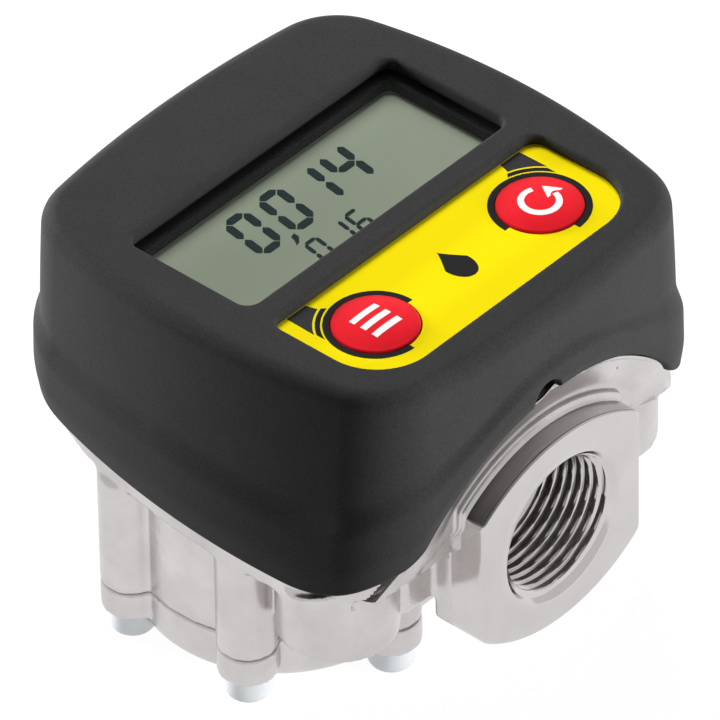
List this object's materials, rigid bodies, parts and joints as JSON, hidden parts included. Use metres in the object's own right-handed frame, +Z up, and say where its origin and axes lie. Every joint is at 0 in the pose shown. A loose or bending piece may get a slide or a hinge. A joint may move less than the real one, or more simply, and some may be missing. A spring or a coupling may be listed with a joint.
{
  "type": "digital fuel flow meter",
  "caption": "Oval gear flow meter with threaded inlet and outlet ports, and a boxed display head with two sprung buttons in a rubber boot.",
  "frame": {"origin": "on the standing surface, under the middle of the meter's box", "axes": "+Z up out of the display, +Y from the inlet port to the outlet port, +X towards the reset button"},
  "size_m": [0.1152, 0.1144, 0.0961],
  "materials": {
    "cast_metal": "nickel plated casting, satin",
    "screw_zinc": "zinc plated, pale blue",
    "pin_steel": "ground",
    "gear_plastic": "moulded",
    "bush_bronze": "sintered bronze",
    "boot_rubber": "fine matt rubber",
    "seal_rubber": "smooth seal",
    "case_plastic": "moulded black",
    "board_green": "solder resist",
    "label_yellow": "printed film",
    "button_red": "moulded key",
    "lcd_glass": "reflective display",
    "pane_clear": "clear pane",
    "cell_sleeve": "plain battery sleeve",
    "contact_metal": "plated spring contact"
  },
  "bodies": {
    "housing": {"meter_body": "cast_metal", "bottom_lid": "cast_metal", "lid_seal": "seal_rubber", "lid_screws": "screw_zinc", "left_gear_pin": "pin_steel", "right_gear_pin": "pin_steel", "thrust_washers": "bush_bronze", "electronics_case": "case_plastic", "case_gasket": "seal_rubber", "case_screws": "pin_steel", "display_cover": "case_plastic", "cover_screws": "pin_steel", "circuit_board": "board_green", "board_screws": "pin_steel", "reed_sensor": "pane_clear", "sensor_stem": "case_plastic", "battery_cells": "cell_sleeve", "battery_holder": "case_plastic", "battery_contacts": "contact_metal", "lcd_panel": "lcd_glass", "lcd_connectors": "seal_rubber", "lcd_frame": "case_plastic", "display_window": "pane_clear", "keypad_label": "label_yellow", "key_switches": "case_plastic", "protective_boot": "boot_rubber"},
    "left_rotor": {"left_oval_gear": "gear_plastic", "left_gear_bush": "bush_bronze"},
    "right_rotor": {"right_oval_gear": "gear_plastic", "right_gear_bush": "bush_bronze", "gear_magnets": "pin_steel"},
    "total_key": {"total_button": "button_red"},
    "reset_key": {"reset_button": "button_red"}
  },
  "joints": [
    {"name": "left_rotor_turn", "type": "hinge", "parent": "housing", "child": "left_rotor", "pos_m": [-0.02, 0.0043, 0.028], "axis": [0, 0, 1], "continuous": true},
    {"name": "right_rotor_turn", "type": "hinge", "parent": "housing", "child": "right_rotor", "pos_m": [0.02, 0.0043, 0.028], "axis": [0, 0, 1], "continuous": true},
    {"name": "total_press", "type": "slide", "parent": "housing", "child": "total_key", "axis": [0, 0, -1], "range_m": [0, 0.001], "stiffness_N_per_m": 400},
    {"name": "reset_press", "type": "slide", "parent": "housing", "child": "reset_key", "axis": [0, 0, -1], "range_m": [0, 0.001], "stiffness_N_per_m": 400}
  ],
  "couplings": [
    {"joint": "right_rotor_turn", "follows": "left_rotor_turn", "ratio": -1}
  ]
}
